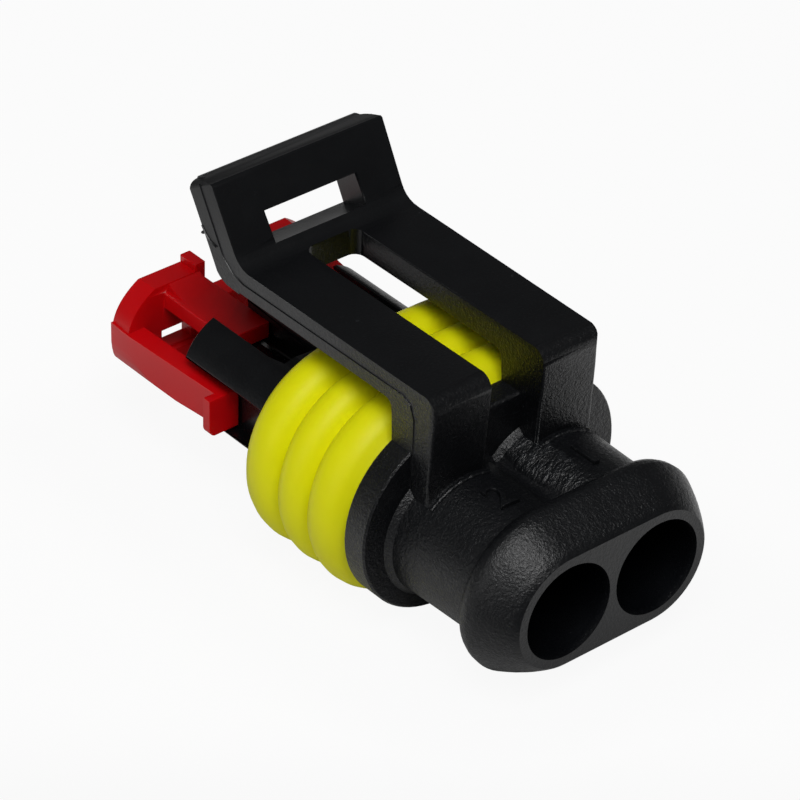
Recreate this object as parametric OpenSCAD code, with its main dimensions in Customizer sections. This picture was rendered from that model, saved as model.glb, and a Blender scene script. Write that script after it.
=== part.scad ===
// Sealed two-way automotive plug: housing with sprung latch frame, ribbed interface seal and slide-in lock.
// Origin: centre of the wire face, midway between the wire bores. +Y points to the mating end, +Z to the latch.

/* [Overall] */
// Width across the seal's ribs
width = 18.1; // [17.7:0.1:18.5]
// Length from the wire face to the outside of the open lock
length = 33; // [32.9:0.1:33.4]
// Height of the thumb tab's front edge over the bore centre line, before rounding
tab_top = 13.6; // [13.2:0.1:13.9]

/* [Wire end] */
// Distance between the two wire cavities
pitch = 6; // [5.8:0.1:6.4]
// Radius of each wire seal bore
bore_r = 2.78; // [2.5:0.02:2.8]
// Depth of the wire seal bores from the wire face
bore_depth = 12; // [11:0.25:13]
// Outline radius of the wire face round each bore centre
face_r = 3.4; // [3.2:0.05:3.6]
// Largest outline radius of the bevelled collar
collar_r = 4.78; // [4.4:0.02:5]
// Length of the collar
collar_len = 3.4; // [3:0.1:4]
// Radius of the two tubes behind the collar
neck_r = 3.75; // [3.5:0.05:4]
// Growth of the tube radius towards the flange, for mould draft
neck_draft = 0.15; // [0:0.05:0.3]

/* [Interface] */
// Rise of the interface centre line over the bore centre line
rise = 0.6; // [0.4:0.05:0.8]
// Front plane of the flange
flange_y = 9.5; // [9:0.1:10]
// Flange thickness
flange_t = 1.6; // [1.4:0.1:2]
// Flange outline radius
flange_r = 5.55; // [5.3:0.05:5.9]
// Radius of the seat under the seal
seat_r = 4.1; // [4:0.05:4.3]

/* [Seal] */
// Number of ribs
rib_count = 3; // [2:1:3]
// Distance between rib crests
rib_step = 2.4; // [2.2:0.05:2.5]
// Radius of the seal in the valleys between the ribs
valley_r = 5.05; // [4.8:0.05:5.2]
// Length of the plain lip at each end of the seal
lip_len = 0.7; // [0.4:0.05:0.8]
// Extra width of the outer flanks of the end ribs
flank = 0.3; // [0:0.05:0.35]
// Depth of the relief grooves inside the seal
groove_d = 0.25; // [0.15:0.05:0.35]

/* [Nose] */
// Outline radius of the nose
nose_r = 3.4; // [3.3:0.05:3.5]
// End plane of the nose
nose_y = 27.6; // [27.2:0.1:28]
// Width of a contact cavity
cav_w = 2.5; // [2.3:0.1:2.6]
// Height of a contact cavity
cav_h = 2.6; // [2.4:0.1:2.7]
// Thickness of the contact locking finger over each cavity
finger_t = 0.8; // [0.6:0.05:0.85]
// Half width of the key channel along the top of the nose
key_half = 1; // [0.8:0.05:1.1]

/* [Latch frame] */
// Front plane of the latch legs
arm_y = 7.82; // [7.6:0.05:8.2]
// Top plane of the arms
arm_z = 9.48; // [9.2:0.05:9.8]
// Arm thickness
arm_t = 1.55; // [1.4:0.05:1.7]
// Half width of the frame over the legs
arm_half = 5.55; // [5.3:0.05:5.7]
// Half width of the frame at the bend
bend_half = 5.67; // [5.6:0.05:5.9]
// Half width of the slot at the legs
slot_half = 1.75; // [1.5:0.05:1.9]
// Half width of the slot near the bend
slot_end_half = 1.8; // [1.7:0.05:2]
// Position of the bend between arms and thumb tab
bend_y = 23.41; // [22.8:0.1:24]
// Lean of the thumb tab from the level
tab_lean = 61; // [55:1:66]
// Thickness of the thumb tab
tab_t = 2.1; // [1.8:0.05:2.3]
// Rise of the tab's end face towards its back edge
tab_rise = 0.5; // [0:0.05:0.8]
// Half width of the window in the thumb tab
window_half = 3.05; // [2.8:0.05:3.4]

/* [Lock] */
// Thickness of the end plate
plate_t = 1.4; // [1.2:0.1:1.6]
// Outline radius of the end plate
plate_r = 3.95; // [3.8:0.05:4.1]
// Top edge of the end plate
plate_top = 3.75; // [3.6:0.05:3.9]
// Bottom edge of the end plate
plate_bottom = -2.4; // [-2.6:0.05:-2.2]
// Half width of the end plate's flat top
plate_flat = 5.02; // [4.9:0.02:5.1]
// Half width of the key notch in the end plate
notch_half = 1.55; // [1.5:0.05:1.6]
// Width of a pin slot
slot_w = 2.04; // [1.9:0.02:2.2]
// Height of a pin slot
slot_h = 1.2; // [1.1:0.02:1.3]
// Width of a locking strip
strip_w = 2.76; // [2.6:0.02:2.8]
// Thickness of a locking strip
strip_t = 1; // [0.8:0.05:1.1]
// Length of the web that rises from a strip to the end plate
ramp_len = 1.8; // [1:0.1:2.5]
// Height of the side arms at the feet
side_h = 1.95; // [1.7:0.05:2]
// Extra height of the side arms at the end plate
side_rise = 0.5; // [0:0.05:0.6]
// Thickness of the side arms
side_t = 1.05; // [0.8:0.05:1.1]
// Front plane of the feet on the side arms
foot_y = 24.3; // [24.2:0.05:24.6]
// Clearance round the sliding lock
gap = 0.1; // [0.05:0.01:0.15]

/* [Hidden] */
$fn = 64;
eps = 0.02;
// half sweep of a seal rib's round crest
rib_arc = 80;
half = pitch / 2;
flange_back = flange_y + flange_t;
rib_r = width / 2 - half;
rib_h = rib_r - valley_r;
seal_len = 2 * lip_len + rib_count * rib_step;
seat_y = flange_back + seal_len;
// levels of the contact cavity, the finger over it and the strip channel
cav_top = cav_h / 2 + 0.05;
channel_z = cav_top + finger_t;
strip_z = channel_z + gap;
channel_half = strip_w / 2 + gap;
strip_y = foot_y + 1.6;
// overhanging lips that hold the strips down
lip_z = strip_z + strip_t + gap;
lip_w = 0.32;
// inner face of the side recess and of the feet
recess_x = half + cav_w / 2 + 0.6;
foot_in = recess_x + gap;
foot_out = half + plate_r;
side_z = rise + 0.55;
foot_len = 0.55;
tab_len = (tab_top - arm_z) / sin(tab_lean);
plate_y = length - plate_t;
// the lock slides until the plate meets the nose
travel = plate_y - nose_y - gap;
// the leaning tab: direction along its face, and its outward normal towards the wire end
tab_u = [cos(tab_lean), sin(tab_lean)];
tab_n = [-sin(tab_lean), cos(tab_lean)];
bend = [bend_y, arm_z];

function arc(c, r, a0, a1, n = 6) =
    [for (i = [0:n]) let (a = a0 + (a1 - a0) * i / n) c + r * [cos(a), sin(a)]];
function bez(p, q, r, n = 6) =
    [for (i = [0:n]) let (t = i / n) (1 - t) * (1 - t) * p + 2 * t * (1 - t) * q + t * t * r];

// Sweeps a (radius, along Y) half profile round a stadium with the cavity pitch
module race(w = half) {
    for (s = [-1, 1]) translate([s * w, 0, 0]) rotate([-90, 0, 0])
        rotate_extrude(angle = 180, start = s > 0 ? -90 : 90) children();
    translate([-w, 0, 0]) rotate([90, 0, 90]) linear_extrude(2 * w) {
        mirror([1, -1, 0]) children();
        mirror([0, 1, 0]) mirror([1, -1, 0]) children();
    }
}

// Round bar along +Y
module bar(r, y0, y1, r2 = undef) {
    translate([0, y0, 0]) rotate([-90, 0, 0]) cylinder(r1 = r, r2 = is_undef(r2) ? r : r2, h = y1 - y0);
}

// Extrudes a (Y, Z) outline across X
module across(x0, x1) {
    translate([x0, 0, 0]) rotate([90, 0, 90]) linear_extrude(x1 - x0) children();
}

// Box between two corners
module block(a, b) {
    translate(a) cube(b - a);
}

// Bevelled collar round the wire face, curving out to its crest and rounded behind
module collar() {
    race() polygon(concat(
        [[0, 0], [face_r - 0.1, 0]],
        bez([face_r, 0.08], [collar_r - 0.6, 1.05], [collar_r, 2.4]),
        bez([collar_r, 2.4], [collar_r + 0.02, collar_len - 0.2], [collar_r - 0.55, collar_len - 0.1], 4),
        [[neck_r - 0.1, collar_len], [0, collar_len]]));
}

// Two tubes side by side with a small flare where they meet the flange
module neck() {
    for (s = [-1, 1]) translate([s * half, 0, 0]) {
        bar(neck_r, collar_len - 0.4, flange_y + 0.4, neck_r + neck_draft);
        bar(neck_r + neck_draft, flange_y - 0.35, flange_y + eps, neck_r + neck_draft + 0.3);
    }
}

// Oval flange that the seal bears on
module flange() {
    translate([0, 0, rise]) race() polygon([
        [0, flange_y], [flange_r - 0.1, flange_y], [flange_r, flange_y + 0.1],
        [flange_r, flange_back - 0.1], [flange_r - 0.1, flange_back], [0, flange_back]]);
}

// Seat under the seal with its snap bead, then the slimmer nose
module nose() {
    translate([0, 0, rise]) race() polygon([
        [0, flange_back - eps], [seat_r, flange_back - eps], [seat_r, seat_y + 0.05],
        [seat_r + 0.1, seat_y + 0.12], [seat_r + 0.1, seat_y + 0.3], [seat_r - 0.2, seat_y + 0.6],
        [nose_r, seat_y + 0.6], [nose_r, nose_y - 0.15], [nose_r - 0.15, nose_y], [0, nose_y]]);
}

// Side view of legs, arms and thumb tab as one bent strip
function frame_outline() = let (
        top_f = bend + tab_len * tab_u,
        back = bend - tab_t * tab_n,
        top_b = back + (tab_len + tab_rise) * tab_u,
        under = arm_z - arm_t,
        low_b = back - ((back[1] - under) / tab_u[1]) * tab_u
    ) concat(
        [[flange_back - eps, 1.2], [arm_y + 0.5, 1.2]],
        arc([arm_y + 0.9, arm_z - 0.9], 0.9, 180, 90),
        bez(bend - [1, 0], bend, bend + 0.9 * tab_u, 5),
        bez(top_f - 0.3 * tab_u, top_f, top_f - 0.3 * tab_n, 3),
        bez(top_b + 0.6 * tab_n - 0.15 * tab_u, top_b, top_b - 0.6 * tab_u, 5),
        bez(low_b + 0.9 * tab_u, low_b, low_b - [1.3, 0], 6),
        bez([flange_back + 0.6, under], [flange_back - eps, under], [flange_back - eps, under - 0.6], 4));

// Places children in the plane of the tab's front face, x across, y up the tab, z out of the face
module on_tab() {
    translate([0, bend_y, arm_z]) rotate([tab_lean, 0, 0]) children();
}

// Latch frame: two legs, two arms, cross bar and thumb tab with its window
module latch_frame() {
    top_y = bend_y + 6;
    difference() {
        intersection() {
            across(-bend_half - 1, bend_half + 1) polygon(frame_outline());
            linear_extrude(2 * arm_z) polygon(concat(
                arc([arm_half - 0.3, arm_y + 0.3], 0.3, -90, 0, 3),
                [[bend_half, bend_y], [bend_half + 0.18, top_y], [-bend_half - 0.18, top_y], [-bend_half, bend_y]],
                arc([-arm_half + 0.3, arm_y + 0.3], 0.3, 180, 270, 3)));
        }
        // slot between the arms, closed by the cross bar
        translate([0, 0, 0.5]) linear_extrude(12) polygon(concat(
            [[-slot_half, arm_y - 1], [slot_half, arm_y - 1]],
            arc([slot_end_half - 0.6, bend_y - 1.16], 0.6, 0, 90, 4),
            arc([-slot_end_half + 0.6, bend_y - 1.16], 0.6, 90, 180, 4)));
        // window with a sloping sill
        across(-window_half, window_half) polygon([
            bend + 0.55 * tab_u + 0.8 * tab_n, bend + 0.55 * tab_u,
            bend + 0.85 * tab_u - (tab_t + 0.1) * tab_n, bend + 1.9 * tab_u - (tab_t + 1.5) * tab_n,
            bend + 2.33 * tab_u - (tab_t + 1.5) * tab_n, bend + 2.33 * tab_u + 0.8 * tab_n]);
        // rounded upper corners of the tab
        for (s = [-1, 1]) on_tab() translate([s * (bend_half + 0.15 - 0.6), tab_len - 0.35, -3]) difference() {
            translate([s > 0 ? 0 : -2, 0, 0]) cube([2, 2, 5]);
            cylinder(r = 0.6, h = 5);
        }
    }
}

// Wire bore, funnel and square contact cavity of one way
module cavity() {
    bar(bore_r, -1, bore_depth);
    bar(bore_r, bore_depth - eps, bore_depth + 1.4, 1.5);
    block([-cav_w / 2, bore_depth + 0.9, -cav_h / 2 + 0.05], [cav_w / 2, nose_y + 1, cav_top]);
}

// Channel for one locking strip, with the cuts that free the finger over the cavity
module strip_channel() {
    far = strip_y - travel - 0.4;
    block([-channel_half, far, channel_z], [channel_half, nose_y + 1, lip_z]);
    block([lip_w - channel_half, far, channel_z], [channel_half - lip_w, nose_y + 1, rise + nose_r + 1]);
    for (x = [-1.1, 0.8])
        block([x, strip_y - travel, cav_top - 0.3], [x + 0.3, nose_y - 1, channel_z + 0.1]);
    block([-1.1, nose_y - 1.4, cav_top - 0.3], [1.1, nose_y - 1, channel_z + 0.1]);
}

// Hook under the finger that holds a contact
module finger_hook() {
    translate([-0.8, 0, 0]) across(0, 1.6) polygon([
        [nose_y - 4.2, cav_top + 0.1], [nose_y - 2.2, cav_top - 0.65],
        [nose_y - 1.4, cav_top - 0.65], [nose_y - 1.4, cav_top + 0.1]]);
}

module housing() {
    color("#1b1d20") {
        difference() {
            union() {
                collar();
                neck();
                flange();
                nose();
                latch_frame();
            }
            for (s = [-1, 1]) translate([s * half, 0, 0]) {
                cavity();
                strip_channel();
            }
            // key channel along the top of the nose
            block([-key_half, seat_y + 1, rise + 0.85], [key_half, nose_y + 1, rise + nose_r + 1]);
            // side recesses for the lock's arms and feet
            for (s = [-1, 1]) scale([s, 1, 1])
                block([recess_x, foot_y - travel - 0.3, side_z - side_h - 0.6],
                      [recess_x + nose_r, nose_y + 1, side_z + 0.8]);
        }
        for (s = [-1, 1]) translate([s * half, 0, 0]) finger_hook();
    }
}

// Ribbed silicone ring, stretched on the seat behind the flange
module interface_seal() {
    first = flange_back + lip_len + rib_step / 2;
    // reach of a rib's flank from its crest, on the side away from the next rib and beside it
    function reach(i, side) = rib_step / 2 + (i + side < 0 || i + side > rib_count - 1 ? flank : -0.08);
    color("#d9db1e") translate([0, 0, rise]) race() difference() {
        polygon(concat(
            [[seat_r, flange_back], [valley_r - 0.1, flange_back]],
            [for (i = [0:rib_count - 1]) each concat(
                [for (k = [-1:0.25:1]) let (t = k * rib_arc)
                    [valley_r + rib_h * cos(t), first + i * rib_step + reach(i, sign(t)) * sin(t)]],
                i < rib_count - 1 ? [[valley_r, first + (i + 0.5) * rib_step]] : [])],
            [[valley_r - 0.2, seat_y], [seat_r, seat_y]]));
        // relief grooves inside
        for (i = [0:rib_count - 2]) translate([seat_r - 1, first + (i + 0.5) * rib_step - 0.5])
            square([1 + groove_d, 1]);
    }
}

// End plate's outline, right half listed from the flat bottom up to the rounded top corner
function plate_outline() = let (
        c = [half, rise],
        from_a = 20,
        from = c + plate_r * [cos(from_a), sin(from_a)],
        right = concat(
            [[half + 2, plate_bottom], [half + 3.73, plate_bottom + 1.75]],
            arc(c, plate_r, -15, from_a - 2, 6),
            bez(from, from + 1.1 * [-sin(from_a), cos(from_a)], [plate_flat, plate_top], 8))
    ) concat(right, [for (i = [len(right) - 1:-1:0]) [-right[i][0], right[i][1]]]);

// Bar with the end plate's outline
module plate_bar(y0, y1) {
    translate([0, y1, 0]) rotate([90, 0, 0]) linear_extrude(y1 - y0) polygon(plate_outline());
}

// End plate with two pin slots and the notch for the mating key
module lock_plate() {
    y1 = plate_y + plate_t;
    difference() {
        plate_bar(plate_y, y1);
        block([-notch_half, plate_y - 1, rise + 0.85], [notch_half, y1 + 1, plate_top + 1]);
        for (s = [-1, 1]) translate([s * (half + 0.2), 0, -0.1]) {
            block([-slot_w / 2, plate_y - 1, -slot_h / 2], [slot_w / 2, y1 + 1, slot_h / 2]);
            // pocket round the slot on the inner face
            block([-slot_w / 2 - 0.3, plate_y - 1, -slot_h / 2 - 0.1],
                  [slot_w / 2 + 0.3, plate_y + 0.4, slot_h / 2 + 0.3]);
        }
    }
    // guide ribs beside the notch
    for (s = [-1, 1]) scale([s, 1, 1])
        block([notch_half, plate_y, plate_top - 1], [notch_half + 0.69, y1, plate_top + 0.45]);
}

// One side of the lock: locking strip over the cavity, springy side arm and its foot
module lock_side() {
    y1 = plate_y + plate_t;
    x_near = foot_out - 0.7;
    top = strip_z + strip_t;
    web = channel_half - lip_w - gap;
    block([half - strip_w / 2, strip_y, strip_z], [half + strip_w / 2, plate_y + 0.5, top]);
    // web that curves up from the strip to the plate's top edge, between the channel's lips
    across(half - web, half + web) polygon(concat(
        bez([plate_y - ramp_len, top], [plate_y - ramp_len / 3, top], [plate_y + eps, plate_top - 0.05], 6),
        [[plate_y + eps, top - 0.2], [plate_y - ramp_len, top - 0.2]]));
    // arm, splayed out and growing taller to the rim of the plate
    intersection() {
        translate([0, 0, side_z - side_h]) linear_extrude(side_h + side_rise) polygon([
            [x_near - side_t, foot_y], [x_near, foot_y], [foot_out + 0.15, y1], [foot_out - side_t - 0.6, y1],
            [foot_out - side_t - 0.2, plate_y]]);
        across(0, foot_out + 1) polygon([
            [foot_y, -2], [y1, -2], [y1, side_z + side_rise], [foot_y, side_z]]);
        union() {
            plate_bar(foot_y - 1, y1);
            block([0, foot_y - 1, rise - 0.2], [foot_out, y1, side_z + side_rise + 1]);
        }
    }
    // foot with a rounded lower outer corner
    translate([0, foot_y + foot_len, 0]) rotate([90, 0, 0]) linear_extrude(foot_len) polygon(concat(
        [[foot_in, side_z], [foot_in, side_z - side_h - 0.4]],
        arc([foot_out - 0.5, side_z - side_h + 0.1], 0.5, -90, 0, 5),
        [[foot_out, side_z]]));
}

module secondary_lock() {
    color("#c4141b") union() {
        lock_plate();
        for (s = [-1, 1]) scale([s, 1, 1]) lock_side();
    }
}

housing();
interface_seal();
secondary_lock();
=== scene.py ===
import math
import bmesh
import bpy
from mathutils import Matrix, Vector


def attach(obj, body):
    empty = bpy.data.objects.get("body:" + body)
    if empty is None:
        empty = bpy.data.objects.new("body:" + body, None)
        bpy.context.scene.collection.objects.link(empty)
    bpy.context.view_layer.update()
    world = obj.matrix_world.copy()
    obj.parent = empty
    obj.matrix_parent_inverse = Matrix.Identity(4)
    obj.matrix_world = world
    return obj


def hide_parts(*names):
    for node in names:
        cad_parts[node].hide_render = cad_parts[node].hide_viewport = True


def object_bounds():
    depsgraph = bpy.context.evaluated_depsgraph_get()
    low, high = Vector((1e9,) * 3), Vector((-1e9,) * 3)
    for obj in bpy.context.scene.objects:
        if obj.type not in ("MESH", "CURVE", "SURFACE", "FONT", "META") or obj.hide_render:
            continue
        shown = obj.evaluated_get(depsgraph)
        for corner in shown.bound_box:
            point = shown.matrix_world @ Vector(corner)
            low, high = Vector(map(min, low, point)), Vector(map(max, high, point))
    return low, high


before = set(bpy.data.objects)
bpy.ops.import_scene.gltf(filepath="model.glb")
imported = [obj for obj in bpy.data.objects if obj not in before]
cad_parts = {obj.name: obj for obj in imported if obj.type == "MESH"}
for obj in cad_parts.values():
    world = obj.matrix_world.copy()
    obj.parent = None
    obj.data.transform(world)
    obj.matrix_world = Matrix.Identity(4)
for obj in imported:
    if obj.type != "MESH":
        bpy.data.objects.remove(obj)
cad_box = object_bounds()

# ---------------------------------------------------------------------------
# Camera: a long lens from the wire end, above and to the left of the plug,
# turned a little about its own axis.
look_at = Vector((-0.005968, 0.010000, 0.008697))
camera_far = 0.213706
turn, rise, roll = math.radians(-40.88), math.radians(34.702), math.radians(1.733)
back = Vector((math.sin(turn) * math.cos(rise), -math.cos(turn) * math.cos(rise), math.sin(rise)))
right = Vector((math.cos(turn), math.sin(turn), 0.0))
up = back.cross(right)
lens_x = math.cos(roll) * right + math.sin(roll) * up
lens_y = -math.sin(roll) * right + math.cos(roll) * up
camera_data = bpy.data.cameras.new("camera")
camera_data.sensor_width = 36.0
camera_data.lens = 192.1
camera_data.clip_start = 0.01
camera_data.clip_end = 20.0
camera = bpy.data.objects.new("camera", camera_data)
place = Matrix((lens_x, lens_y, back)).transposed().to_4x4()
place.translation = look_at + back * camera_far
camera.matrix_world = place
bpy.context.scene.collection.objects.link(camera)
bpy.context.scene.camera = camera

# ---------------------------------------------------------------------------
# Housing: one moulding in black glass-filled nylon, with the wire collar, twin
# tubes, flange, latch frame and nose. The mould leaves its edges slightly round,
# its outer faces grained, and its bores, arm tops and thumb tab smoother.


def finished_copy(node, flat=0.6, weld=0.000002):
    """Copy of a CAD node with its loose triangles joined into clean faces."""
    form = bmesh.new()
    form.from_mesh(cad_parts[node].data)
    bmesh.ops.remove_doubles(form, verts=form.verts, dist=weld)
    if flat > 0:
        bmesh.ops.dissolve_limit(
            form, angle_limit=math.radians(flat), verts=form.verts, edges=form.edges
        )
    return form


def object_from(form, name, body, sharp_from=32):
    """Makes the object, smooth apart from its sharp edges, and lets it ride on its body."""
    for face in form.faces:
        face.smooth = True
    for edge in form.edges:
        edge.smooth = edge.is_manifold and edge.calc_face_angle(0.0) < math.radians(sharp_from)
    mesh = bpy.data.meshes.new(name)
    form.to_mesh(mesh)
    form.free()
    made = bpy.data.objects.new(name, mesh)
    bpy.context.scene.collection.objects.link(made)
    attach(made, body)
    return made


def soften_edges(form, sharp_from, long_mm, wide_mm2):
    """Marks the long outer edges between wide faces, which the mould leaves rounded."""
    weight = form.edges.layers.float.new("bevel_weight_edge")
    for edge in form.edges:
        if len(edge.link_faces) != 2 or edge.calc_length() < long_mm / 1000:
            continue
        angle = math.degrees(edge.calc_face_angle_signed(0.0))
        narrow = min(face.calc_area() for face in edge.link_faces)
        if angle > sharp_from and narrow > wide_mm2 / 1e6:
            edge[weight] = 1.0


def round_over(made, radius):
    """Live bevel on the marked edges."""
    bevel = made.modifiers.new("soft_edges", "BEVEL")
    bevel.limit_method = "WEIGHT"
    bevel.width = radius
    bevel.segments = 3
    bevel.use_clamp_overlap = False
    bevel.harden_normals = True


housing_rounding = 0.00014
housing_form = finished_copy("housing")
soften_edges(housing_form, sharp_from=40, long_mm=0.4, wide_mm2=0.25)
housing = object_from(housing_form, "housing_moulding", "shell")
round_over(housing, housing_rounding)
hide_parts("housing")


def new_group(name, inputs, outputs):
    """Empty shader node group with named sockets."""
    group = bpy.data.node_groups.new(name, "ShaderNodeTree")
    for label, kind, value in inputs:
        socket = group.interface.new_socket(name=label, in_out="INPUT", socket_type=kind)
        if value is not None:
            socket.default_value = value
    for label, kind in outputs:
        group.interface.new_socket(name=label, in_out="OUTPUT", socket_type=kind)
    return group, group.nodes.new("NodeGroupInput"), group.nodes.new("NodeGroupOutput")


def noise(group, vector, scale, detail, roughness=0.5):
    """Noise texture on a vector socket."""
    node = group.nodes.new("ShaderNodeTexNoise")
    node.inputs["Scale"].default_value = scale
    node.inputs["Detail"].default_value = detail
    node.inputs["Roughness"].default_value = roughness
    group.links.new(vector, node.inputs["Vector"])
    return node.outputs["Fac"]


def remap(group, value, low, high, out_low=0.0, out_high=1.0, smooth=False):
    """Map Range with fixed ends."""
    node = group.nodes.new("ShaderNodeMapRange")
    node.interpolation_type = "SMOOTHSTEP" if smooth else "LINEAR"
    node.inputs["From Min"].default_value = low
    node.inputs["From Max"].default_value = high
    node.inputs["To Min"].default_value = out_low
    node.inputs["To Max"].default_value = out_high
    group.links.new(value, node.inputs["Value"])
    return node.outputs["Result"]


def math_node(group, operation, a, b=None, clamp=False):
    """Math node on sockets or numbers."""
    node = group.nodes.new("ShaderNodeMath")
    node.operation = operation
    node.use_clamp = clamp
    for index, value in enumerate((a, b)):
        if value is None:
            continue
        if isinstance(value, (int, float)):
            node.inputs[index].default_value = value
        else:
            group.links.new(value, node.inputs[index])
    return node.outputs[0]


def scaled(group, value, share):
    """Socket times a number or another socket."""
    return math_node(group, "MULTIPLY", value, share)


# Spark-eroded grain of the mould: fine bumps 0.13 mm apart, wider pits, a cloudy flow
# pattern a few millimetres across, and stray flecks in patches.
grain, grain_in, grain_out = new_group(
    "mould_grain",
    [("Vector", "NodeSocketVector", None), ("Amount", "NodeSocketFloat", 1.0)],
    [(label, "NodeSocketFloat") for label in ("Height", "Variation", "Flecks", "Sparkle")],
)
fine = noise(grain, grain_in.outputs["Vector"], 7500.0, 3.0, 0.6)
pits = noise(grain, grain_in.outputs["Vector"], 3600.0, 2.0, 0.5)
cloud = noise(grain, grain_in.outputs["Vector"], 420.0, 4.0, 0.55)
speck = noise(grain, grain_in.outputs["Vector"], 2600.0, 5.0, 0.7)
spread = noise(grain, grain_in.outputs["Vector"], 330.0, 1.0, 0.5)
height = math_node(grain, "ADD", scaled(grain, fine, 0.55), scaled(grain, pits, 0.45))
height = scaled(grain, height, grain_in.outputs["Amount"])
flecks = scaled(grain, remap(grain, speck, 0.66, 0.74), remap(grain, spread, 0.48, 0.62))
grain.links.new(height, grain_out.inputs["Height"])
grain.links.new(cloud, grain_out.inputs["Variation"])
grain.links.new(flecks, grain_out.inputs["Flecks"])
grain.links.new(fine, grain_out.inputs["Sparkle"])

# How strongly a face is grained: least on the arm tops and the thumb tab, a little on
# the nose, and less on the wire face than on the collar round it.
zones, zones_in, zones_out = new_group(
    "grained_zones",
    [("Vector", "NodeSocketVector", None)],
    [("Grained", "NodeSocketFloat"), ("Bore", "NodeSocketFloat")],
)
at = zones.nodes.new("ShaderNodeSeparateXYZ")
zones.links.new(zones_in.outputs["Vector"], at.inputs["Vector"])
under_arms = remap(zones, at.outputs["Z"], 0.0090, 0.0098, 1.0, 0.0, True)
before_nose = remap(zones, at.outputs["Y"], 0.0110, 0.0190, 1.0, 0.25, True)
past_face = remap(zones, at.outputs["Y"], 0.00005, 0.00035, 0.60, 1.0, True)
grained = scaled(zones, scaled(zones, under_arms, before_nose), past_face)
zones.links.new(grained, zones_out.inputs["Grained"])
# The bores' walls are drawn smooth by the polished core pins.
bore_x, bore_wall = 0.0030, 0.0029
from_axis = math_node(zones, "SUBTRACT", math_node(zones, "ABSOLUTE", at.outputs["X"]), bore_x)
across = scaled(zones, from_axis, from_axis)
upright = scaled(zones, at.outputs["Z"], at.outputs["Z"])
bore_radius = math_node(zones, "SQRT", math_node(zones, "ADD", across, upright))
in_bore = remap(zones, bore_radius, bore_wall, bore_wall + 0.0001, 1.0, 0.0)
past_mouth = remap(zones, at.outputs["Y"], 0.0001, 0.0006)
zones.links.new(scaled(zones, in_bore, past_mouth), zones_out.inputs["Bore"])


def moulded_plastic(name, colour, tint, rough, bump_mm):
    """Principled material with the mould grain; returns it with its main nodes."""
    made = bpy.data.materials.new(name)
    made.use_nodes = True
    tree = made.node_tree
    shader = tree.nodes["Principled BSDF"]
    coords = tree.nodes.new("ShaderNodeTexCoord")
    skin = tree.nodes.new("ShaderNodeGroup")
    skin.node_tree = grain
    tree.links.new(coords.outputs["Object"], skin.inputs["Vector"])
    shade = tree.nodes.new("ShaderNodeMix")
    shade.data_type = "RGBA"
    shade.inputs["A"].default_value = (*colour, 1.0)
    shade.inputs["B"].default_value = (*tint, 1.0)
    tree.links.new(skin.outputs["Variation"], shade.inputs["Factor"])
    tree.links.new(shade.outputs["Result"], shader.inputs["Base Color"])
    polish = tree.nodes.new("ShaderNodeMapRange")
    polish.inputs["To Min"].default_value = rough - 0.08
    polish.inputs["To Max"].default_value = rough + 0.08
    tree.links.new(skin.outputs["Variation"], polish.inputs["Value"])
    tree.links.new(polish.outputs["Result"], shader.inputs["Roughness"])
    bump = tree.nodes.new("ShaderNodeBump")
    bump.inputs["Distance"].default_value = bump_mm / 1000.0
    bump.inputs["Strength"].default_value = 1.0
    tree.links.new(skin.outputs["Height"], bump.inputs["Height"])
    tree.links.new(bump.outputs["Normal"], shader.inputs["Normal"])
    nodes = {"shader": shader, "coords": coords, "skin": skin, "shade": shade}
    nodes.update({"polish": polish, "bump": bump})
    return made, nodes


black_nylon, nylon = moulded_plastic(
    "black_nylon", (0.0015, 0.0018, 0.0025), (0.0032, 0.0037, 0.0048), 0.35, 0.080
)
tree, shader, skin = black_nylon.node_tree, nylon["shader"], nylon["skin"]
zone = tree.nodes.new("ShaderNodeGroup")
zone.node_tree = zones
tree.links.new(nylon["coords"].outputs["Object"], zone.inputs["Vector"])
amount = math_node(tree, "ADD", scaled(tree, zone.outputs["Grained"], 0.85), 0.15)
amount = math_node(tree, "SUBTRACT", amount, scaled(tree, zone.outputs["Bore"], 0.8), clamp=True)
tree.links.new(amount, skin.inputs["Amount"])

# Torn flow marks on the inner flank of the right tube, where the mould slide drags.
drag, drag_in, drag_out = new_group(
    "slide_drag_marks",
    [("Vector", "NodeSocketVector", None)],
    [("Mask", "NodeSocketFloat"), ("Height", "NodeSocketFloat")],
)
patch = drag.nodes.new("ShaderNodeMapping")
patch.inputs["Location"].default_value = (-1.05, -2.30, -4.1)
patch.inputs["Scale"].default_value = (700.0, 330.0, 1250.0)
drag.links.new(drag_in.outputs["Vector"], patch.inputs["Vector"])
from_patch = drag.nodes.new("ShaderNodeVectorMath")
from_patch.operation = "LENGTH"
drag.links.new(patch.outputs["Vector"], from_patch.inputs[0])
stretch = drag.nodes.new("ShaderNodeMapping")
stretch.inputs["Scale"].default_value = (1500.0, 3000.0, 1000.0)
drag.links.new(drag_in.outputs["Vector"], stretch.inputs["Vector"])
in_patch = remap(drag, from_patch.outputs["Value"], 0.75, 1.15, 1.0, 0.0, True)
drag.links.new(in_patch, drag_out.inputs["Mask"])
drag.links.new(noise(drag, stretch.outputs["Vector"], 1.0, 3.0, 0.6), drag_out.inputs["Height"])
marks = tree.nodes.new("ShaderNodeGroup")
marks.node_tree = drag
tree.links.new(nylon["coords"].outputs["Object"], marks.inputs["Vector"])
torn = scaled(tree, marks.outputs["Mask"], marks.outputs["Height"])
flakes = remap(tree, torn, 0.46, 0.62)
relief = math_node(tree, "ADD", skin.outputs["Height"], scaled(tree, torn, 2.2))
tree.links.new(relief, nylon["bump"].inputs["Height"])

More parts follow.
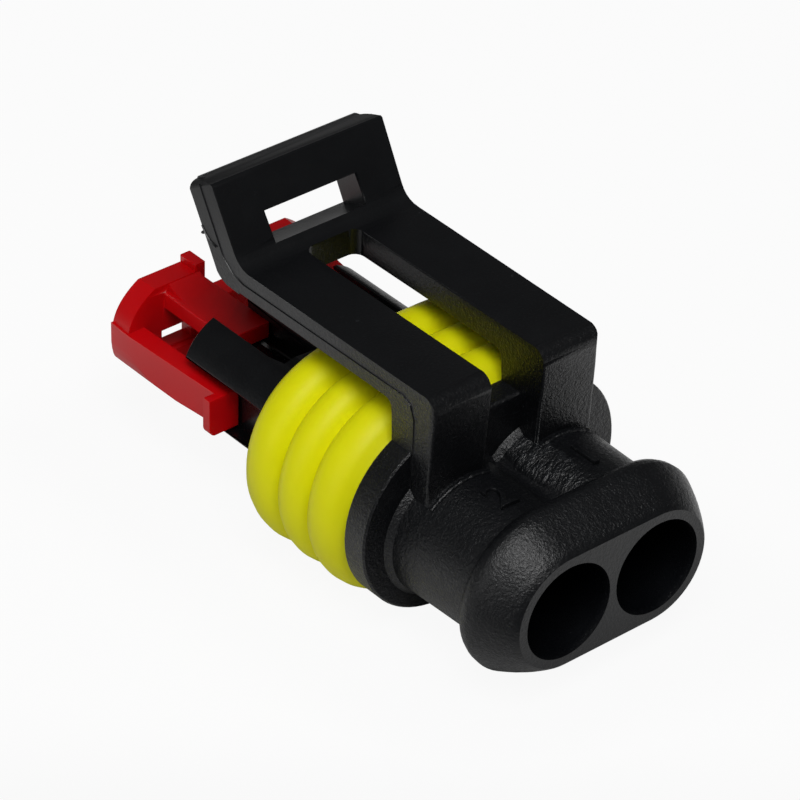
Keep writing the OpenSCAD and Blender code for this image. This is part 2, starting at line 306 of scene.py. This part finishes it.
# The grain breaks the gloss up, flecks of glass fibre and rub marks show pale,
# and the grain's sparkle is painted into the colour as pale glints.
shader.inputs["Specular IOR Level"].default_value = 0.46
sparkle = math_node(tree, "SUBTRACT", skin.outputs["Sparkle"], 0.5)
sparkle = scaled(tree, sparkle, amount)
gloss = scaled(tree, sparkle, 0.5)
gloss = math_node(tree, "ADD", gloss, scaled(tree, flakes, 0.12))
gloss = math_node(tree, "ADD", gloss, scaled(tree, zone.outputs["Bore"], 0.08))
dull = math_node(tree, "SUBTRACT", nylon["polish"].outputs["Result"], gloss, clamp=True)
tree.links.new(dull, shader.inputs["Roughness"])
pale_wear_and_painted_glint = scaled(tree, skin.outputs["Flecks"], 0.5)
pale_wear_and_painted_glint = math_node(tree, "ADD", pale_wear_and_painted_glint, scaled(tree, flakes, 0.22))
# Painted highlight: the grain's sparkle pales the colour as glints.
pale_wear_and_painted_glint = math_node(tree, "ADD", pale_wear_and_painted_glint, scaled(tree, sparkle, 0.9), clamp=True)
wear_and_painted_glint = tree.nodes.new("ShaderNodeMix")
wear_and_painted_glint.data_type = "RGBA"
wear_and_painted_glint.inputs["B"].default_value = (0.045, 0.048, 0.052, 1.0)
tree.links.new(nylon["shade"].outputs["Result"], wear_and_painted_glint.inputs["A"])
tree.links.new(pale_wear_and_painted_glint, wear_and_painted_glint.inputs["Factor"])
tree.links.new(wear_and_painted_glint.outputs["Result"], shader.inputs["Base Color"])
housing.data.materials.clear()
housing.data.materials.append(black_nylon)

# ---------------------------------------------------------------------------
# Parting line: fine flash of the housing's nylon where the two mould halves met,
# along the middle of the latch frame's sides and up the sides of the tab.
frame_start, bend_start = 0.00782, 0.02341
leg_half_width, tab_half_width, tab_widening = 0.00555, 0.00567, 0.03


def black_detail(form, name, sharp_from=32):
    """Small raised detail of the housing moulding."""
    bmesh.ops.recalc_face_normals(form, faces=form.faces)
    made = object_from(form, name, "shell", sharp_from)
    made.data.materials.append(black_nylon)
    return made


def closed_bar(form, rows):
    """Bridges rings of points into a bar and closes its two ends."""
    rings = []
    for row in rows:
        verts = [form.verts.new(point) for point in row]
        rings.append([form.edges.new(pair) for pair in zip(verts, verts[1:] + verts[:1])])
    for ring, following in zip(rings, rings[1:]):
        bmesh.ops.bridge_loops(form, edges=ring + following)
    for ring in (rings[0], rings[-1]):
        bmesh.ops.contextual_create(form, geom=ring)


def point_mm(y_mm, z_mm, x_mm=0.0):
    """Point given in millimetres, by default in the plug's middle plane."""
    return Vector((x_mm, y_mm, z_mm)) / 1000


def frame_side(y):
    """Half width of the latch frame at a distance from the wire face."""
    if y < bend_start:
        along = (y - frame_start) / (bend_start - frame_start)
        return leg_half_width + along * (tab_half_width - leg_half_width)
    return tab_half_width + (y - bend_start) * tab_widening


tab_foot, up_tab = point_mm(24.33, 8.97), Vector((0.0, 0.4848, 0.8746))
seam = [point_mm(9.35, z) for z in (4.2, 6.0, 7.6)]
seam += [point_mm(9.65, 8.4), point_mm(10.3, 8.7)]
seam += [point_mm(y, 8.7) for y in (13, 16, 19, 22, 23)]
seam += [point_mm(23.85, 8.9)]
seam += [tab_foot + up_tab * step / 1000 for step in (0.7, 1.4, 2.4, 3.4, 4.3, 4.8)]
seam_half, seam_sunk, seam_proud = 0.00004, 0.00003, 0.00005
seam_form = bmesh.new()
for side in (-1, 1):
    rows = []
    for index, point in enumerate(seam):
        onward = seam[min(index + 1, len(seam) - 1)] - seam[max(index - 1, 0)]
        across = onward.normalized().cross(Vector((1, 0, 0))) * seam_half
        foot = Vector((side * frame_side(point.y), point.y, point.z))
        sunk, proud = Vector((-side * seam_sunk, 0, 0)), Vector((side * seam_proud, 0, 0))
        rows.append([foot + sunk - across, foot + proud, foot + sunk + across])
    closed_bar(seam_form, rows)
black_detail(seam_form, "parting_line")

# ---------------------------------------------------------------------------
# Leg root lips: the rough raised lip of the same nylon where each leg of the
# latch frame grows out of its tube. It follows the tube's round back.
tube_x, tube_radius, leg_front = 0.0030, 0.003855, 0.00780
lip_thick, lip_steps = 0.00013, 30
lip_form = bmesh.new()
for side in (-1, 1):
    rows = []
    for step in range(lip_steps + 1):
        lean = math.radians(-19 + 60 * step / lip_steps)
        ragged = 0.00003 * math.sin(step * 2.3) + 0.00002 * math.sin(step * 5.1 + side)
        outward = Vector((side * math.sin(lean), 0, math.cos(lean)))
        centre = Vector((side * tube_x, leg_front, 0)) + outward * tube_radius
        row = []
        for part in range(8):
            round_lip = math.tau * part / 8
            spoke = math.cos(round_lip) * outward + math.sin(round_lip) * Vector((0, 1, 0))
            row.append(centre + (lip_thick + ragged) * spoke)
        rows.append(row)
    closed_bar(lip_form, rows)
black_detail(lip_form, "leg_root_lips", 60)

# ---------------------------------------------------------------------------
# Tube web: the nylon that fills the valley between the two tubes, with a hollow
# round top that runs into both, from behind the collar to the flange.
web_radius, web_foot, web_reach = 0.0009, 0.0021, 0.00378
web_high = math.sqrt((web_reach + web_radius) ** 2 - tube_x ** 2)
web_lean = math.atan2(tube_x, web_high)
web_section = []
for part in range(-6, 7):
    lean = web_lean * part / 6
    web_section.append(
        Vector((web_radius * math.sin(lean), 0, web_high - web_radius * math.cos(lean)))
    )
web_section.append(Vector((0, 0, web_foot)))
web_rows = [[point + point_mm(y, 0) for point in web_section] for y in (3.2, 5.0, 7.0, 9.52)]
web_form = bmesh.new()
closed_bar(web_form, web_rows)
black_detail(web_form, "tube_web")

# ---------------------------------------------------------------------------
# Gate stub: the nib of nylon left where the moulding was snapped off its feed,
# with the witness line beside it, low on the tab's left side.
stub_form = bmesh.new()
bmesh.ops.create_icosphere(stub_form, subdivisions=3, radius=0.00011)
bmesh.ops.scale(stub_form, verts=stub_form.verts, vec=(1.3, 1.0, 0.8))
bmesh.ops.translate(stub_form, verts=stub_form.verts, vec=point_mm(26.32, 10.35, -5.76))
witness_half, witness_proud = Vector((0, 0, 0.00004)), Vector((-0.00007, 0, 0))
rows = []
for y, z in ((26.45, 10.72), (26.15, 10.36), (25.75, 10.08), (25.25, 9.95)):
    foot = point_mm(y, z, -5.75)
    rows.append([foot - witness_half, foot + witness_proud, foot + witness_half])
closed_bar(stub_form, rows)
black_detail(stub_form, "gate_stub")

# ---------------------------------------------------------------------------
# Way numbers: a plain raised 2 and 1 in the housing's nylon, one on each tube,
# wrapped round its top and read from the wire end.
number_size, number_y, number_base = 0.0026, 0.00560, 0.00387


def raised_number(digit, axis_x, sideways):
    """Raised digit wrapped round the top of a tube."""
    letters = bpy.data.curves.new("way_number_" + digit, "FONT")
    letters.body = digit
    letters.size = number_size
    letters.align_x = "CENTER"
    letters.align_y = "CENTER"
    letters.extrude = 0.00010
    letters.bevel_depth = 0.00004
    letters.bevel_resolution = 1
    letters.resolution_u = 4
    holder = bpy.data.objects.new("way_number_" + digit, letters)
    bpy.context.scene.collection.objects.link(holder)
    depsgraph = bpy.context.evaluated_depsgraph_get()
    flat = bpy.data.meshes.new_from_object(holder.evaluated_get(depsgraph))
    bpy.data.objects.remove(holder)
    bpy.data.curves.remove(letters)
    form = bmesh.new()
    form.from_mesh(flat)
    bpy.data.meshes.remove(flat)
    bmesh.ops.remove_doubles(form, verts=form.verts, dist=0.000001)
    for cut in range(-3, 4):
        bmesh.ops.bisect_plane(
            form,
            geom=form.verts[:] + form.edges[:] + form.faces[:],
            plane_co=(cut * 0.0002, 0, 0),
            plane_no=(1, 0, 0),
        )
    bmesh.ops.triangulate(form, faces=form.faces)
    for vert in form.verts:
        lean = (vert.co.x + sideways) / tube_radius
        radius = number_base + vert.co.z
        along = number_y + vert.co.y
        vert.co = Vector((axis_x + radius * math.sin(lean), along, radius * math.cos(lean)))
    black_detail(form, "way_number_" + digit)


raised_number("2", -tube_x, 0.00010)
raised_number("1", tube_x, -0.00005)

# ---------------------------------------------------------------------------
# Interface seal: a yellow silicone ring with three round ribs, moulded in one
# and stretched over the seat behind the flange.
seal = object_from(finished_copy("interface_seal", flat=0), "seal_ring", "shell")
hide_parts("interface_seal")
yellow_silicone, silicone = moulded_plastic(
    "yellow_silicone", (0.83, 0.81, 0.002), (0.90, 0.88, 0.004), 0.46, 0.006
)
shader = silicone["shader"]
shader.inputs["Specular IOR Level"].default_value = 0.22
shader.inputs["Subsurface Weight"].default_value = 0.30
shader.inputs["Subsurface Radius"].default_value = (0.0012, 0.0010, 0.0001)
shader.inputs["Subsurface Scale"].default_value = 1.0
seal.data.materials.clear()
seal.data.materials.append(yellow_silicone)

# ---------------------------------------------------------------------------
# Secondary lock: a red moulding with an end plate, two strips and two springy
# side arms. It stands in its open position, ready to be pushed in.
lock_rounding = 0.00007
lock_form = finished_copy("secondary_lock", flat=0.05)
soften_edges(lock_form, sharp_from=50, long_mm=0.4, wide_mm2=0.2)
# The splayed sides of the arms and the webs over the strips keep their crisp edges.
arm_outside, web_start, web_end, web_low = 0.0060, 0.0290, 0.0317, 0.0030
lock_weight = lock_form.edges.layers.float["bevel_weight_edge"]
for edge in lock_form.edges:
    on_arm_side = any(
        abs(face.normal.x) > 0.95 and abs(face.calc_center_median().x) > arm_outside
        for face in edge.link_faces
    )
    halfway = (edge.verts[0].co + edge.verts[1].co) / 2
    if on_arm_side or (web_start < halfway.y < web_end and halfway.z > web_low):
        edge[lock_weight] = 0.0
lock = object_from(lock_form, "lock_moulding", "lock", sharp_from=9)
round_over(lock, lock_rounding)
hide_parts("secondary_lock")
red_polyester, polyester = moulded_plastic(
    "red_lock_plastic", (0.56, 0.0006, 0.0030), (0.62, 0.0010, 0.0040), 0.36, 0.004
)
shader = polyester["shader"]
shader.inputs["Specular IOR Level"].default_value = 0.38
shader.inputs["Subsurface Weight"].default_value = 0.40
shader.inputs["Subsurface Radius"].default_value = (0.0016, 0.0001, 0.0001)
shader.inputs["Subsurface Scale"].default_value = 1.0
lock.data.materials.clear()
lock.data.materials.append(red_polyester)

# ---------------------------------------------------------------------------
# Studio: a white sweep under the plug and two soft lamps, a strong one overhead
# and a weak one low on the left. The sweep glows white to the camera, glows in
# reflections round the plug as a painted reflection, keeps a faint shadow, and
# carries painted shade close round the plug and towards the near left.
floor_form = bmesh.new()
bmesh.ops.create_grid(floor_form, x_segments=1, y_segments=1, size=1.5)
bmesh.ops.translate(floor_form, verts=floor_form.verts, vec=(0.0, 0.0, cad_box[0].z - 0.00002))
floor_mesh = bpy.data.meshes.new("floor")
floor_form.to_mesh(floor_mesh)
floor_form.free()
floor = bpy.data.objects.new("floor", floor_mesh)
bpy.context.scene.collection.objects.link(floor)
white_sweep = bpy.data.materials.new("white_sweep")
white_sweep.use_nodes = True
tree = white_sweep.node_tree
shader = tree.nodes["Principled BSDF"]
shader.inputs["Roughness"].default_value = 0.9
shader.inputs["Specular IOR Level"].default_value = 0.0
coords = tree.nodes.new("ShaderNodeTexCoord")
at = tree.nodes.new("ShaderNodeSeparateXYZ")
tree.links.new(coords.outputs["Object"], at.inputs["Vector"])
# Painted shade: the sweep's colour is painted dark towards the near left, for a dark
# studio there, and painted darker close round the plug, for the plug's own shade.
nearer = math_node(
    tree, "ADD", scaled(tree, at.outputs["X"], -0.654), scaled(tree, at.outputs["Y"], -0.756)
)
painted_dark_side = remap(tree, nearer, 0.003, 0.016, smooth=True)
half_wide, half_long = 0.009, 0.0165
beside = math_node(tree, "SUBTRACT", math_node(tree, "ABSOLUTE", at.outputs["X"]), half_wide)
from_middle = math_node(tree, "SUBTRACT", at.outputs["Y"], half_long)
beyond = math_node(tree, "SUBTRACT", math_node(tree, "ABSOLUTE", from_middle), half_long)
outside = math_node(tree, "MAXIMUM", beside, beyond)
shade_from, shade_to = 0.0015, 0.0075
painted_shade_near = remap(tree, outside, shade_from, shade_to, 0.3, 0.0, smooth=True)
painted_floor_shade = tree.nodes.new("ShaderNodeMix")
painted_floor_shade.data_type = "RGBA"
painted_floor_shade.inputs["A"].default_value = (0.88, 0.88, 0.88, 1.0)
painted_floor_shade.inputs["B"].default_value = (0.07, 0.07, 0.075, 1.0)
tree.links.new(math_node(tree, "MAXIMUM", painted_dark_side, painted_shade_near), painted_floor_shade.inputs["Factor"])
tree.links.new(painted_floor_shade.outputs["Result"], shader.inputs["Base Color"])
# Painted reflection: the sweep glows to glossy rays round the plug, and not over the
# painted shade under it, so glossy faces mirror a painted lit sweep.
path = tree.nodes.new("ShaderNodeLightPath")
seen = math_node(
    tree, "ADD", path.outputs["Is Camera Ray"], path.outputs["Is Transmission Ray"], clamp=True
)
past_shade = remap(tree, outside, shade_from, shade_to, smooth=True)
clear_of_painted_dark = remap(tree, painted_dark_side, 0.0, 1.0, 1.0, 0.0)
sweep_end = remap(tree, outside, 0.008, 0.026, 1.0, 0.0, smooth=True)
painted_reflection_zone = scaled(tree, scaled(tree, past_shade, clear_of_painted_dark), sweep_end)
painted_reflection = scaled(tree, scaled(tree, path.outputs["Is Glossy Ray"], painted_reflection_zone), 0.72)
glow = tree.nodes.new("ShaderNodeEmission")
glow.inputs["Color"].default_value = (1.0, 1.0, 1.0, 1.0)
blend = tree.nodes.new("ShaderNodeMixShader")
backdrop_and_painted_reflection = math_node(tree, "ADD", scaled(tree, seen, 0.93), painted_reflection, clamp=True)
tree.links.new(backdrop_and_painted_reflection, blend.inputs["Fac"])
tree.links.new(shader.outputs["BSDF"], blend.inputs[1])
tree.links.new(glow.outputs["Emission"], blend.inputs[2])
tree.links.new(blend.outputs["Shader"], tree.nodes["Material Output"].inputs["Surface"])
floor_mesh.materials.append(white_sweep)


def soft_lamp(name, lamp_place, target, size, watts):
    """Square area lamp aimed at a point."""
    data = bpy.data.lights.new(name, "AREA")
    data.shape = "SQUARE"
    data.size = size
    data.energy = watts
    lamp = bpy.data.objects.new(name, data)
    lamp.location = lamp_place
    lamp.rotation_mode = "QUATERNION"
    lamp.rotation_quaternion = (Vector(target) - Vector(lamp_place)).to_track_quat("-Z", "Y")
    bpy.context.scene.collection.objects.link(lamp)


plug_middle = (0.0, 0.015, 0.003)
soft_lamp("lamp_key", (-0.14, -0.16, 0.40), plug_middle, 0.26, 1.40)
soft_lamp("lamp_left", (-0.36, -0.02, 0.09), plug_middle, 0.24, 0.20)

world = bpy.data.worlds.new("studio_air")
bpy.context.scene.world = world
world.use_nodes = True
studio_air = world.node_tree.nodes["Background"]
studio_air.inputs["Color"].default_value = (1.0, 1.0, 1.0, 1.0)
studio_air.inputs["Strength"].default_value = 0.075

bpy.context.scene.view_settings.view_transform = "Standard"
